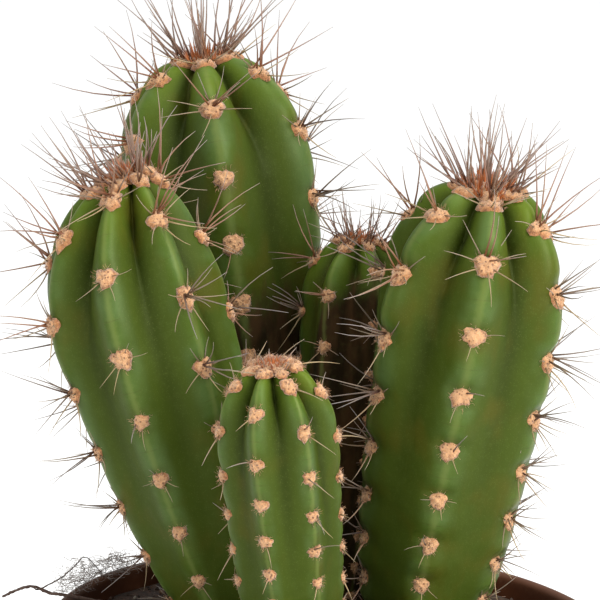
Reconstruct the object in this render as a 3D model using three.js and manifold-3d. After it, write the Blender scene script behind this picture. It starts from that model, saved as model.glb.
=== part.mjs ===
import * as THREE from 'three';
import { mergeVertices } from 'three/addons/utils/BufferGeometryUtils.js';
import Module from 'manifold-3d';

// A clump of five ribbed cactus stems in a round plastic nursery pot.
// Millimetres, +Z up. The origin is the centre of the pot's flat underside.

const wasm = await Module();
wasm.setup();

// Clearance left between pieces that touch each other.
const gap = 0.3;

const pot = {
  height: 122,
  lipRadius: 71.5,
  baseRadius: 51,
  wall: 1.7,
  floor: 2,
  collarHeight: 15,
  collarStep: 1.2,
  edgeRound: 2.5,
  drainHoles: 8,
  drainRadius: 4.5,
  drainRing: 35,
  facets: 40,
};

const soil = {
  level: 116.3,
  mound: 0.8,
  bumps: 0.35,
  edgeRound: 1.5,
  socketDepth: 6,
};

// One row for each stem. foot is where its axis meets the soil and tip is the top of its axis.
// girth is its largest radius, neck the share of it left at the foot, dome the height of the
// rounded top over girth, point how pointed that top is, bow and nod how far the middle and the
// top sway aside from the straight axis, belly the share of the widening that comes early on the
// way up, turn the direction of rib 0 in degrees and twist how far the ribs turn over the stem's
// length. firstRow, rowStep and rowShrink place the spine clusters down a rib, and stagger
// shifts them from rib to rib.
const stems = [
  {
    name: 'back_left',
    foot: [-15.1, 35.5],
    tip: [-39.7, 41.6, 259],
    girth: 26.9,
    neck: 0.44,
    dome: 1.14,
    point: 0.9,
    bow: 0,
    nod: 0,
    belly: 0.61,
    ribs: 6,
    turn: -82.6,
    twist: -6.2,
    firstRow: 6.2,
    rowStep: 19.9,
    rowShrink: 0.67,
    stagger: 0.56,
    clusterRows: 1,
    crownRadius: 3.1,
    crownSpines: 15,
    crownReach: 21,
  },
  {
    name: 'front_left',
    foot: [-16.5, -7.5],
    tip: [-63, -10, 235.8],
    girth: 22.7,
    neck: 0.345,
    dome: 1.6,
    point: 1.05,
    bow: 1.5,
    nod: 7.7,
    belly: 0.4,
    ribs: 7,
    turn: -102.5,
    twist: 17.7,
    firstRow: 14.4,
    rowStep: 18.7,
    rowShrink: 0.47,
    stagger: 0.55,
    clusterRows: 2,
    crownRadius: 4.6,
    crownSpines: 12,
    crownReach: 13,
  },
  {
    name: 'right',
    foot: [20.2, -2.1],
    tip: [31.3, -20.1, 241],
    girth: 24.4,
    neck: 0.35,
    dome: 1.34,
    point: 0.9,
    bow: 0,
    nod: 0,
    belly: 0.57,
    ribs: 6,
    turn: -93.3,
    twist: 20.9,
    firstRow: 9,
    rowStep: 18.05,
    rowShrink: 0.51,
    stagger: 0.53,
    clusterRows: 2,
    crownRadius: 4.6,
    crownSpines: 15,
    crownReach: 17,
  },
  {
    name: 'front_small',
    foot: [-7.5, -34.5],
    tip: [-18.3, -47.6, 201.5],
    girth: 14.7,
    neck: 0.55,
    dome: 1.35,
    point: 0.9,
    bow: 0,
    nod: 0,
    belly: 0.43,
    ribs: 7,
    turn: -108,
    twist: -7,
    firstRow: 4.5,
    rowStep: 12.3,
    rowShrink: 0.4,
    stagger: 0.45,
    clusterRows: 1,
    crownRadius: 2.1,
    crownSpines: 12,
    crownReach: 13,
  },
  {
    name: 'back_small',
    foot: [-0.8, 13.6],
    tip: [2, 15.2, 219],
    girth: 13.4,
    neck: 0.5,
    dome: 1.2,
    point: 0.9,
    bow: 0,
    nod: 0,
    belly: 0.6,
    ribs: 6,
    turn: -124,
    twist: 0,
    firstRow: 7,
    rowStep: 14,
    rowShrink: 0.4,
    stagger: 0.5,
    clusterRows: 1,
    crownRadius: 3.2,
    crownSpines: 10,
    crownReach: 12,
  },
];

const stemMesh = {
  facetsPerRib: 4,
  sideRings: 8,
  domeRings: 7,
};

// How the ribs run. The furrow depths, the crest's roundness and the dimple are shares of the
// girth or of 1; the angles are radians up the dome, where each effect begins and how long it
// takes.
const ribs = {
  furrowAtFoot: 0.16,
  furrowAtTop: 0.36,
  crestRoundness: 0.03,
  furrowEnd: { begins: 0.9, takes: 0.6 },
  dimple: { begins: 1.1, takes: 0.45, depth: 0.1 },
  nodTakes: 1.4,
};

const cluster = {
  padWidth: 2.9,
  padHeight: 2.7,
  padThickness: 1.5,
  spines: 5,
  longest: 16,
  shortest: 9,
  spineRadius: 0.42,
  seat: 0.55,
  padLift: 0.2,
  centralLean: 8,
  sideLean: 48,
  sideLeanSpread: 14,
  clearance: 1.2,
};

// The spines of a crown lean out more and get shorter from its middle to its edge.
const crown = {
  padThickness: 3,
  padLift: 0.8,
  seat: 1.6,
  spread: 0.55,
  leanInMiddle: 6,
  leanAtEdge: 56,
  shorterAtEdge: 0.25,
  turnStep: 2.4,
};

const root = {
  radius: 0.6,
  steps: 22,
  points: [
    [-46, 27, 117.9],
    [-54, 21, 119],
    [-61, 15.5, 121.4],
    [-67.6, 14, 122.9],
    [-72.3, 14, 123.5],
    [-76.8, 14, 125],
    [-80.7, 13.8, 123.9],
    [-84.3, 13.5, 122],
  ],
};

const finishes = {
  pot: { color: 0x5f4938, roughness: 0.55, metalness: 0 },
  soil: { color: 0x3a2517, roughness: 0.98, metalness: 0 },
  stem: { color: 0x4c6630, roughness: 0.5, metalness: 0 },
  spines: { color: 0xb4987c, roughness: 0.8, metalness: 0 },
  crown: { color: 0x8a5c40, roughness: 0.8, metalness: 0 },
  root: { color: 0x6b5446, roughness: 0.95, metalness: 0 },
};

const clump = new THREE.Group();

// A repeatable stream of numbers between 0 and 1.
function numberStream(seed) {
  let state = seed;
  return () => {
    state = (state + 0x6d2b79f5) | 0;
    let t = Math.imul(state ^ (state >>> 15), 1 | state);
    t = (t + Math.imul(t ^ (t >>> 7), 61 | t)) ^ t;
    return ((t ^ (t >>> 14)) >>> 0) / 4294967296;
  };
}

function toSolid(geometry) {
  const bare = geometry.clone();
  bare.deleteAttribute('normal');
  bare.deleteAttribute('uv');
  const merged = mergeVertices(bare, 1e-4);
  return new wasm.Manifold(new wasm.Mesh({
    numProp: 3,
    vertProperties: new Float32Array(merged.attributes.position.array),
    triVerts: new Uint32Array(merged.index.array),
  }));
}

function toGeometry(solid) {
  const mesh = solid.getMesh();
  const geometry = new THREE.BufferGeometry();
  geometry.setAttribute('position', new THREE.BufferAttribute(new Float32Array(mesh.vertProperties), 3));
  geometry.setIndex(new THREE.BufferAttribute(new Uint32Array(mesh.triVerts), 1));
  return geometry;
}

function addPiece(name, geometry, finish) {
  const mesh = new THREE.Mesh(geometry, new THREE.MeshStandardMaterial(finish));
  mesh.name = name;
  clump.add(mesh);
}

function revolve(profile) {
  const points = profile.map(([radius, height]) => new THREE.Vector2(radius, height));
  const geometry = new THREE.LatheGeometry(points, pot.facets);
  geometry.rotateX(Math.PI / 2);
  return geometry;
}

// Points of a quarter circle in a profile, around (radius, height).
function quarter(radius, height, size, from, to, steps) {
  const points = [];
  for (let i = 0; i <= steps; i += 1) {
    const angle = THREE.MathUtils.degToRad(from + ((to - from) * i) / steps);
    points.push([radius + size * Math.cos(angle), height + size * Math.sin(angle)]);
  }
  return points;
}

// Radius of the pot's outer wall, without the collar, at a height.
function wallRadius(height) {
  const top = pot.lipRadius - pot.collarStep - pot.wall;
  return pot.baseRadius + (top - pot.baseRadius) * (height / pot.height);
}

const collarBottom = pot.height - pot.collarHeight;

// Radius of the pot's inner wall, which widens inside the collar up to the rolled lip.
function innerRadius(height) {
  const low = wallRadius(collarBottom) - pot.wall;
  const rise = (height - collarBottom) / (pot.collarHeight - pot.wall);
  return rise < 0 ? wallRadius(height) - pot.wall : low + (pot.lipRadius - 2 * pot.wall - low) * rise;
}

function makePot() {
  const lip = pot.wall;
  const collarRadius = pot.lipRadius - 0.8;
  const profile = [
    [0, 0],
    ...quarter(pot.baseRadius - pot.edgeRound, pot.edgeRound, pot.edgeRound, -90, 0, 3),
    [wallRadius(collarBottom), collarBottom],
    [collarRadius, collarBottom + pot.collarStep],
    [collarRadius, pot.height - 2 * lip],
    ...quarter(pot.lipRadius - lip, pot.height - lip, lip, 0, 180, 6),
    [innerRadius(collarBottom), collarBottom],
    [innerRadius(pot.floor), pot.floor],
    [0, pot.floor],
  ];
  let body = toSolid(revolve(profile));
  for (let i = 0; i < pot.drainHoles; i += 1) {
    const angle = (2 * Math.PI * (i + 0.5)) / pot.drainHoles;
    const drill = new THREE.CylinderGeometry(pot.drainRadius, pot.drainRadius, 4 * pot.floor, 12);
    drill.rotateX(Math.PI / 2);
    drill.translate(pot.drainRing * Math.cos(angle), pot.drainRing * Math.sin(angle), pot.floor / 2);
    body = body.subtract(toSolid(drill));
  }
  addPiece('pot', toGeometry(body), finishes.pot);
}

// The axis of a stem, its frame across, and the lengths that shape it.
function frameOf(stem) {
  const foot = new THREE.Vector3(stem.foot[0], stem.foot[1], soil.level + soil.mound - soil.socketDepth);
  const tip = new THREE.Vector3(...stem.tip);
  const axis = tip.clone().sub(foot);
  const length = axis.length();
  axis.normalize();
  const across = new THREE.Vector3(1, 0, 0).addScaledVector(axis, -axis.x).normalize();
  const domeHeight = stem.girth * stem.dome;
  const path = length - domeHeight + (Math.PI / 4) * (stem.girth + domeHeight);
  return {
    foot,
    axis,
    length,
    across,
    behind: new THREE.Vector3().crossVectors(axis, across),
    domeHeight,
    path,
    shoulder: (length - domeHeight) / path,
  };
}

// How far a stem has widened from its foot, where it is 0, to its shoulder, where it is 1.
function swell(stem, x) {
  return stem.belly * (1 - (1 - x) ** 5) + (1 - stem.belly) * x * (1.3 - 0.3 * x);
}

// How much of an effect on the dome is reached at an angle, from 0 to 1.
function share(bend, effect) {
  return THREE.MathUtils.clamp((bend - effect.begins) / effect.takes, 0, 1);
}

// A point of a stem's skin. rib counts ribs round the stem, whole on a crest and half in a
// furrow. up is 0 at the foot and 1 at the middle of the top. grow moves the skin outwards.
function skinPoint(stem, rib, up, grow) {
  const f = stem.frame;
  const x = Math.min(up / f.shoulder, 1);
  const bend = (Math.PI / 2) * Math.max((up - f.shoulder) / (1 - f.shoulder), 0);
  const onDome = up > f.shoulder;
  const waist = stem.neck + (1 - stem.neck) * swell(stem, x);
  const radius = stem.girth * (onDome ? Math.cos(bend) ** stem.point : waist);
  const sink = ribs.dimple.depth * stem.girth * share(bend, ribs.dimple) ** 2;
  const height = onDome ? f.length - f.domeHeight * (1 - Math.sin(bend)) - sink : (f.length - f.domeHeight) * x;
  const crest = Math.sqrt((Math.cos(Math.PI * rib) ** 2 + ribs.crestRoundness) / (1 + ribs.crestRoundness));
  const deep = ribs.furrowAtFoot + (ribs.furrowAtTop - ribs.furrowAtFoot) * x;
  const fade = 1 - share(bend, ribs.furrowEnd);
  const inward = stem.girth * deep * fade * (1 - crest) - grow;
  const out = Math.max(radius - Math.cos(bend) * inward, 0);
  const along = height - Math.sin(bend) * inward;
  const angle = THREE.MathUtils.degToRad(stem.turn + stem.twist * (up - 0.5)) + (2 * Math.PI * rib) / stem.ribs;
  const point = f.foot.clone();
  point.addScaledVector(f.axis, along);
  const rise = height / f.length;
  const sway = stem.nod * Math.min(bend / ribs.nodTakes, 1) ** 2 - stem.bow * 4 * rise * (1 - rise);
  point.addScaledVector(f.across, sway + out * Math.cos(angle));
  point.addScaledVector(f.behind, out * Math.sin(angle));
  return point;
}

// A closed skin over the given heights. A last height of 1 closes on the top's middle.
function skinGeometry(stem, heights, grow, drop) {
  const around = stem.ribs * stemMesh.facetsPerRib;
  const positions = [];
  for (const up of heights) {
    for (let i = 0; i < around; i += 1) {
      const point = skinPoint(stem, i / stemMesh.facetsPerRib, up, grow);
      if (up === heights[0]) {
        point.addScaledVector(stem.frame.axis, -drop);
      }
      positions.push(point.x, point.y, point.z);
    }
  }
  const rings = heights.length;
  const bottom = positions.length / 3;
  const low = stem.frame.foot.clone().addScaledVector(stem.frame.axis, -drop);
  positions.push(low.x, low.y, low.z);
  const high = new THREE.Vector3();
  const last = heights[rings - 1];
  high.copy(skinPoint(stem, 0, last, grow)).add(skinPoint(stem, stem.ribs / 2, last, grow)).multiplyScalar(0.5);
  if (last > 0.9) {
    high.copy(skinPoint(stem, 0, 1, grow));
  }
  positions.push(high.x, high.y, high.z);
  const index = [];
  for (let i = 0; i < around; i += 1) {
    const next = (i + 1) % around;
    index.push(bottom, next, i);
    index.push(bottom + 1, (rings - 1) * around + i, (rings - 1) * around + next);
    for (let ring = 0; ring < rings - 1; ring += 1) {
      const a = ring * around + i;
      const b = ring * around + next;
      index.push(a, b, b + around);
      index.push(a, b + around, a + around);
    }
  }
  const geometry = new THREE.BufferGeometry();
  geometry.setAttribute('position', new THREE.BufferAttribute(new Float32Array(positions), 3));
  geometry.setIndex(index);
  return geometry;
}

function stemHeights(stem) {
  const heights = [];
  for (let i = 0; i < stemMesh.sideRings; i += 1) {
    heights.push((stem.frame.shoulder * i) / stemMesh.sideRings);
  }
  for (let i = 0; i < stemMesh.domeRings; i += 1) {
    heights.push(stem.frame.shoulder + ((1 - stem.frame.shoulder) * i) / stemMesh.domeRings);
  }
  return heights;
}

function makeStem(stem) {
  const geometry = skinGeometry(stem, stemHeights(stem), 0, 0);
  addPiece(`stem_${stem.name}`, geometry, finishes.stem);
}

function makeSoil() {
  const bottom = pot.floor + gap;
  const edge = (height) => innerRadius(height) - gap;
  const top = soil.level;
  const profile = [
    [0, bottom],
    [edge(bottom), bottom],
    [edge(collarBottom), collarBottom],
    [edge(top - soil.edgeRound), top - soil.edgeRound],
    [edge(top) - soil.edgeRound, top],
    [0.7 * edge(top), top],
    [0.4 * edge(top), top + soil.mound],
    [0, top + soil.mound],
  ];
  const bed = mergeVertices(revolve(profile).deleteAttribute('normal').deleteAttribute('uv'), 1e-4);
  const place = bed.attributes.position;
  for (let i = 0; i < place.count; i += 1) {
    const x = place.getX(i);
    const y = place.getY(i);
    if (place.getZ(i) > top - 0.5) {
      place.setZ(i, place.getZ(i) + soil.bumps * Math.sin(0.31 * x + 0.5) * Math.cos(0.27 * y));
    }
  }
  let ground = toSolid(bed);
  for (const stem of stems) {
    const lowRings = stemHeights(stem).slice(0, 3);
    ground = ground.subtract(toSolid(skinGeometry(stem, lowRings, gap, gap)));
  }
  addPiece('soil', toGeometry(ground), finishes.soil);
}

// The place of a spine cluster: the skin's point on a crest, its outward direction, and the
// directions up the rib and across it.
function clusterPlace(stem, rib, row) {
  const late = rib * stem.stagger;
  const step = row + late - Math.floor(late);
  const down = stem.firstRow + stem.rowStep * step - stem.rowShrink * step ** 2;
  const up = 1 - down / stem.frame.path;
  const point = skinPoint(stem, rib, up, 0);
  const upward = skinPoint(stem, rib, up + 0.004, 0).sub(skinPoint(stem, rib, up - 0.004, 0)).normalize();
  const side = skinPoint(stem, rib + 0.03, up, 0).sub(skinPoint(stem, rib - 0.03, up, 0)).normalize();
  const out = new THREE.Vector3().crossVectors(side, upward).normalize();
  return { point, upward, side, out };
}

function crownPlace(stem) {
  const point = skinPoint(stem, 0, 1, 0);
  const out = stem.frame.axis.clone();
  const side = stem.frame.across.clone();
  return { point, upward: new THREE.Vector3().crossVectors(out, side), side, out };
}

// A three-sided spike from base to end.
function spike(base, end, radius) {
  const geometry = new THREE.ConeGeometry(radius, base.distanceTo(end), 3, 1);
  geometry.translate(0, base.distanceTo(end) / 2, 0);
  const direction = end.clone().sub(base).normalize();
  geometry.applyQuaternion(new THREE.Quaternion().setFromUnitVectors(new THREE.Vector3(0, 1, 0), direction));
  geometry.translate(base.x, base.y, base.z);
  return geometry;
}

// Roughly how far a point is outside a stem's crests.
function clearOfStem(point, stem) {
  const f = stem.frame;
  const offset = point.clone().sub(f.foot);
  const along = offset.dot(f.axis);
  const out = offset.addScaledVector(f.axis, -along).length();
  const side = f.length - f.domeHeight;
  if (along < side) {
    return out - stem.girth * (stem.neck + (1 - stem.neck) * swell(stem, Math.max(along / side, 0)));
  }
  const overDome = Math.hypot(out / stem.girth, (along - side) / f.domeHeight);
  return (overDome - 1) * Math.min(stem.girth, f.domeHeight);
}

// The shortest distance between two straight pieces, sampled.
function distanceBetween(first, second) {
  const lineA = new THREE.Line3(first.base, first.end);
  const lineB = new THREE.Line3(second.base, second.end);
  const onA = new THREE.Vector3();
  const onB = new THREE.Vector3();
  let least = Infinity;
  for (let i = 0; i <= 12; i += 1) {
    lineA.at(i / 12, onA);
    lineB.closestPointToPoint(onA, true, onB);
    least = Math.min(least, onA.distanceTo(onB));
  }
  return least;
}

const placedSpines = [];
const placedPads = [];

// True where a spine stays clear of the other stems and of every other cluster.
function hasRoom(spine, ownStem, ownName) {
  const probe = new THREE.Vector3();
  for (const stem of stems) {
    for (let part = 0.25; part <= 1; part += 0.25) {
      probe.lerpVectors(spine.base, spine.end, part);
      if (stem !== ownStem && clearOfStem(probe, stem) < cluster.clearance) {
        return false;
      }
    }
  }
  for (const other of placedSpines) {
    if (other.owner !== ownName && distanceBetween(spine, other) < cluster.clearance) {
      return false;
    }
  }
  for (const pad of placedPads) {
    const nearest = new THREE.Line3(spine.base, spine.end).closestPointToPoint(pad.point, true, probe);
    if (pad.owner !== ownName && nearest.distanceTo(pad.point) < pad.radius + cluster.clearance) {
      return false;
    }
  }
  return true;
}

// A woolly cushion on the skin with its spines, joined into one body.
function makeCluster(name, stem, place, size, spines, finish) {
  const pad = new THREE.SphereGeometry(1, 7, 4);
  pad.applyMatrix4(new THREE.Matrix4().makeScale(size.width, size.height, size.thickness));
  pad.applyMatrix4(new THREE.Matrix4().makeBasis(place.side, place.upward, place.out));
  const seat = place.point.clone().addScaledVector(place.out, size.lift);
  pad.translate(seat.x, seat.y, seat.z);
  let body = toSolid(pad);
  for (const spine of spines) {
    if (hasRoom(spine, stem, name)) {
      body = body.add(toSolid(spike(spine.base, spine.end, cluster.spineRadius)));
      placedSpines.push({ ...spine, owner: name });
    }
  }
  body = body.subtract(stem.grownSolid);
  const parts = body.decompose();
  parts.sort((a, b) => b.volume() - a.volume());
  addPiece(name, toGeometry(parts[0]), finish);
}

function aim(place, lean, around) {
  const direction = place.out.clone().multiplyScalar(Math.cos(lean));
  direction.addScaledVector(place.side, Math.sin(lean) * Math.cos(around));
  direction.addScaledVector(place.upward, Math.sin(lean) * Math.sin(around));
  return direction;
}

function spineFrom(place, lift, direction, length) {
  const base = place.point.clone().addScaledVector(place.out, lift);
  return { base, end: base.clone().addScaledVector(direction, length) };
}

function makeClusters(stem, random) {
  const small = Math.sqrt(stem.girth / 24);
  const size = {
    width: cluster.padWidth * small,
    height: cluster.padHeight * small,
    thickness: cluster.padThickness * small,
    lift: cluster.padLift,
  };
  const firstRib = 1 - Math.ceil(stem.ribs / 2);
  let number = 0;
  for (let row = 0; row < stem.clusterRows; row += 1) {
    for (let rib = firstRib; rib < firstRib + stem.ribs; rib += 1) {
      number += 1;
      const name = `spines_${stem.name}_${String(number).padStart(2, '0')}`;
      const place = clusterPlace(stem, rib, row);
      placedPads.push({ point: place.point, radius: size.width, owner: name });
      const spines = [];
      for (let i = 0; i < cluster.spines; i += 1) {
        const degrees = i === 0 ? cluster.centralLean : cluster.sideLean + cluster.sideLeanSpread * random();
        const lean = THREE.MathUtils.degToRad(degrees);
        const around = 2 * Math.PI * ((i + 0.5 * random()) / (cluster.spines - 1)) + Math.PI / 2;
        const reach = cluster.shortest + (cluster.longest - cluster.shortest) * random();
        const length = small * (i === 0 ? cluster.longest : reach);
        spines.push(spineFrom(place, cluster.seat, aim(place, lean, around), length));
      }
      makeCluster(name, stem, place, size, spines, finishes.spines);
    }
  }
}

function makeCrown(stem, random) {
  const name = `crown_${stem.name}`;
  const place = crownPlace(stem);
  const size = {
    width: stem.crownRadius,
    height: stem.crownRadius,
    thickness: crown.padThickness,
    lift: crown.padLift,
  };
  placedPads.push({ point: place.point, radius: stem.crownRadius, owner: name });
  const spines = [];
  for (let i = 0; i < stem.crownSpines; i += 1) {
    const outward = (i + 0.5) / stem.crownSpines;
    const degrees = THREE.MathUtils.lerp(crown.leanInMiddle, crown.leanAtEdge, outward);
    const lean = THREE.MathUtils.degToRad(degrees);
    const around = crown.turnStep * i + random();
    const length = stem.crownReach * (1 - crown.shorterAtEdge * outward) * (0.85 + 0.15 * random());
    const spine = spineFrom(place, crown.seat, aim(place, lean, around), length);
    const spread = crown.spread * stem.crownRadius * Math.sqrt(outward);
    spine.base.addScaledVector(place.side, spread * Math.cos(around));
    spine.base.addScaledVector(place.upward, spread * Math.sin(around));
    spines.push(spine);
  }
  makeCluster(name, stem, place, size, spines, finishes.crown);
}

function makeRoot() {
  const route = new THREE.CatmullRomCurve3(root.points.map((point) => new THREE.Vector3(...point)));
  const section = new THREE.Shape();
  section.absarc(0, 0, root.radius, 0, 2 * Math.PI);
  const options = { steps: root.steps, curveSegments: 3, bevelEnabled: false, extrudePath: route };
  addPiece('dry_root', new THREE.ExtrudeGeometry(section, options), finishes.root);
}

for (const stem of stems) {
  stem.frame = frameOf(stem);
  stem.grownSolid = toSolid(skinGeometry(stem, stemHeights(stem), gap, 0));
}
makePot();
makeSoil();
const random = numberStream(7);
for (const stem of stems) {
  makeStem(stem);
  makeCrown(stem, random);
}
for (const stem of stems) {
  makeClusters(stem, random);
}
makeRoot();

export default clump;
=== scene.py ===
import math
import random
from types import SimpleNamespace

import bmesh
import bpy
import numpy as np
from mathutils import Matrix, Vector


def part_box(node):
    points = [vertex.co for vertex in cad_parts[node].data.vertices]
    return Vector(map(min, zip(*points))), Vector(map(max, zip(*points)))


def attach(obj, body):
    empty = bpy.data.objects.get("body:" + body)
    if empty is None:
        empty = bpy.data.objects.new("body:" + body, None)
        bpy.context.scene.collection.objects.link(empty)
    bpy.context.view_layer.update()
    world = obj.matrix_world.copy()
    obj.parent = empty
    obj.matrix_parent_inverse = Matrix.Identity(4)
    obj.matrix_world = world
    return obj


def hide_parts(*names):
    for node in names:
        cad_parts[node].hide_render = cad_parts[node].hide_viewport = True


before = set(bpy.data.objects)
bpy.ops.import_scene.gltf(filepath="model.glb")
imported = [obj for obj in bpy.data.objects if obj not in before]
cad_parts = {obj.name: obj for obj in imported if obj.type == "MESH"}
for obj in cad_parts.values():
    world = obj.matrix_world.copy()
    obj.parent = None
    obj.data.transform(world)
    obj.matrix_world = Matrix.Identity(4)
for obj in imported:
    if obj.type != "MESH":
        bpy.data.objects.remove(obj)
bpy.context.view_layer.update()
mm = 0.001


# sums that work on plain numbers, on arrays and inside a node tree


class Wire:
    # a value running through a node tree, so that a rule can be written as plain arithmetic
    def __init__(self, tree, socket):
        self.tree = tree
        self.socket = socket

    def do(self, operation, *others):
        node = self.tree.nodes.new("ShaderNodeMath")
        node.operation = operation
        for plug, value in zip(node.inputs, (self,) + others):
            if isinstance(value, Wire):
                self.tree.links.new(value.socket, plug)
            else:
                plug.default_value = value
        return Wire(self.tree, node.outputs[0])

    def __add__(self, other):
        return self.do("ADD", other)

    __radd__ = __add__

    def __sub__(self, other):
        return self.do("SUBTRACT", other)

    def __rsub__(self, other):
        return fixedWire(self.tree, other).do("SUBTRACT", self)

    def __mul__(self, other):
        return self.do("MULTIPLY", other)

    __rmul__ = __mul__

    def __truediv__(self, other):
        return self.do("DIVIDE", other)


def fixedWire(tree, value):
    node = tree.nodes.new("ShaderNodeValue")
    node.outputs[0].default_value = value
    return Wire(tree, node.outputs[0])


def either(operation, plain):
    return lambda a: a.do(operation) if isinstance(a, Wire) else plain(a)


sine = either("SINE", np.sin)
cosine = either("COSINE", np.cos)
root = either("SQRT", np.sqrt)
below = either("FLOOR", np.floor)
size = either("ABSOLUTE", np.abs)
growth = either("EXPONENT", np.exp)


def atLeast(a, low):
    return a.do("MAXIMUM", low) if isinstance(a, Wire) else np.maximum(a, low)


def unit(a):
    # held between 0 and 1
    return atLeast(a, 0.0).do("MINIMUM", 1.0) if isinstance(a, Wire) else np.clip(a, 0, 1)


def power(a, n):
    a = atLeast(a, 0.0)
    return a.do("POWER", n) if isinstance(a, Wire) else np.power(a, n)


def bell(a):
    return growth(a * a * -1)


# small helpers for trees, meshes and pieces


def newTree(name, inputs):
    # a geometry tree with named inputs; returns the tree and its input node
    tree = bpy.data.node_groups.new(name, "GeometryNodeTree")
    kinds = {float: "NodeSocketFloat", int: "NodeSocketInt", Vector: "NodeSocketVector"}
    shape = "NodeSocketGeometry"
    tree.interface.new_socket("Geometry", in_out="INPUT", socket_type=shape)
    for label, value in inputs.items():
        kind = kinds.get(type(value)) or value
        tree.interface.new_socket(label, in_out="INPUT", socket_type=kind)
    tree.interface.new_socket("Geometry", in_out="OUTPUT", socket_type=shape)
    return tree, tree.nodes.new("NodeGroupInput")


def fillPlugs(tree, node, plugs):
    # links a node's inputs to wires or sockets, or gives them values
    for key, value in plugs.items():
        if isinstance(value, Wire):
            value = value.socket
        if isinstance(value, bpy.types.NodeSocket):
            tree.links.new(value, node.inputs[key])
        else:
            node.inputs[key].default_value = value


def addNode(tree, kind, plugs=None, **settings):
    node = tree.nodes.new(kind)
    for key, value in settings.items():
        setattr(node, key, value)
    fillPlugs(tree, node, plugs or {})
    return node


def vectorParts(tree, socket):
    parts = addNode(tree, "ShaderNodeSeparateXYZ", {"Vector": socket})
    return [Wire(tree, output) for output in parts.outputs]


def newObject(name, data):
    piece = bpy.data.objects.new(name, data)
    bpy.context.scene.collection.objects.link(piece)
    return piece


def settledMesh(holder):
    # what the object's modifiers or curves come to, as a plain mesh
    bpy.context.view_layer.update()
    ready = holder.evaluated_get(bpy.context.evaluated_depsgraph_get())
    return bpy.data.meshes.new_from_object(ready)


def smoothFaces(mesh):
    mesh.polygons.foreach_set("use_smooth", [True] * len(mesh.polygons))


def dressMesh(mesh, material):
    mesh.materials.clear()
    mesh.materials.append(material)
    smoothFaces(mesh)


def closeTree(tree, geometry, material):
    last = addNode(tree, "GeometryNodeSetMaterial", {"Geometry": geometry, "Material": material})
    leave = tree.nodes.new("NodeGroupOutput")
    tree.links.new(last.outputs[0], leave.inputs[0])


def growMesh(name, base, tree, values):
    # runs a tree on a base mesh with the given inputs and keeps the result as a plain mesh
    holder = newObject(name + "Base", base)
    modifier = holder.modifiers.new("grow", "NODES")
    modifier.node_group = tree
    for item in tree.interface.items_tree:
        if item.item_type == "SOCKET" and item.in_out == "INPUT" and item.name in values:
            modifier[item.identifier] = values[item.name]
    mesh = settledMesh(holder)
    mesh.name = name
    bpy.data.objects.remove(holder)
    return newObject(name, mesh)


def pointMesh(name, places, **layers):
    # loose points that carry attributes for a tree to read
    mesh = bpy.data.meshes.new(name)
    mesh.from_pydata([tuple(place) for place in places], [], [])
    for key, values in layers.items():
        first = values[0]
        kind = "FLOAT_VECTOR" if isinstance(first, Vector) else "INT" if isinstance(first, int) else "FLOAT"
        layer = mesh.attributes.new(key, kind, "POINT")
        flat = [part for value in values for part in value] if kind == "FLOAT_VECTOR" else list(values)
        layer.data.foreach_set("vector" if kind == "FLOAT_VECTOR" else "value", flat)
    return mesh


def meshFrom(name, points, faces):
    mesh = bpy.data.meshes.new(name)
    mesh.from_pydata([tuple(point) for point in points], [], faces)
    smoothFaces(mesh)
    return mesh


def hiddenObject(mesh):
    # a shape that a tree copies; it is removed again once the pieces are made
    shape = newObject(mesh.name, mesh)
    patterns.append(shape)
    return shape


def finishPiece(piece, nodes=()):
    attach(piece, "root")
    if nodes:
        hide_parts(*nodes)
    print(piece.name, len(piece.data.polygons), "faces")


patterns = []


# the camera

camera = {
    "distance": 900 * mm,
    "lens": 216,
    "pitch": 12.8,
    "roll": 2.5,
    "rimRight": 0.0095,
    "rimDown": 0.0911,
}


def makeCamera(c):
    # stands in front of the pot's rim, which it sees low in the frame
    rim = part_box("pot")[1].z
    pitch = math.radians(c["pitch"])
    roll = math.radians(c["roll"])
    ahead = Vector((0, math.cos(pitch), -math.sin(pitch)))
    level = Vector((1, 0, 0))
    upright = level.cross(ahead)
    right = math.cos(roll) * level + math.sin(roll) * upright
    up = math.cos(roll) * upright - math.sin(roll) * level
    data = bpy.data.cameras.new("view")
    data.lens = c["lens"]
    data.sensor_width = 36
    data.clip_start = 0.05
    data.clip_end = 50
    view = newObject("view", data)
    turn = Matrix((right, up, -ahead)).transposed().to_4x4()
    place = Vector((0, 0, rim)) - c["distance"] * (ahead + right * c["rimRight"] - up * c["rimDown"])
    view.matrix_world = Matrix.Translation(place) @ turn
    bpy.context.scene.camera = view


makeCamera(camera)
print("camera ready")


# materials


def newMaterial(name):
    material = bpy.data.materials.new(name)
    material.use_nodes = True
    tree = material.node_tree
    tree.nodes.clear()
    shader = tree.nodes.new("ShaderNodeBsdfPrincipled")
    leave = tree.nodes.new("ShaderNodeOutputMaterial")
    tree.links.new(shader.outputs[0], leave.inputs[0])
    return material, tree, shader


def attribute(tree, name):
    node = addNode(tree, "ShaderNodeAttribute", attribute_name=name)
    return Wire(tree, node.outputs["Fac"])


def ownPlace(tree, seed, stretch=(1, 1, 1)):
    # the object's own coordinates, shifted by the seed so that two patterns don't agree
    where = tree.nodes.new("ShaderNodeTexCoord").outputs["Object"]
    plugs = {"Vector": where, "Scale": stretch, "Location": (seed, seed, seed)}
    return addNode(tree, "ShaderNodeMapping", plugs).outputs[0]


def grain(tree, scale, detail=3.0, stretch=(1, 1, 1), rough=0.55, seed=0.0):
    # soft noise, with scale in lumps for each metre
    place = ownPlace(tree, seed, stretch)
    plugs = {"Vector": place, "Scale": scale, "Detail": detail, "Roughness": rough}
    return Wire(tree, addNode(tree, "ShaderNodeTexNoise", plugs).outputs["Fac"])


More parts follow.
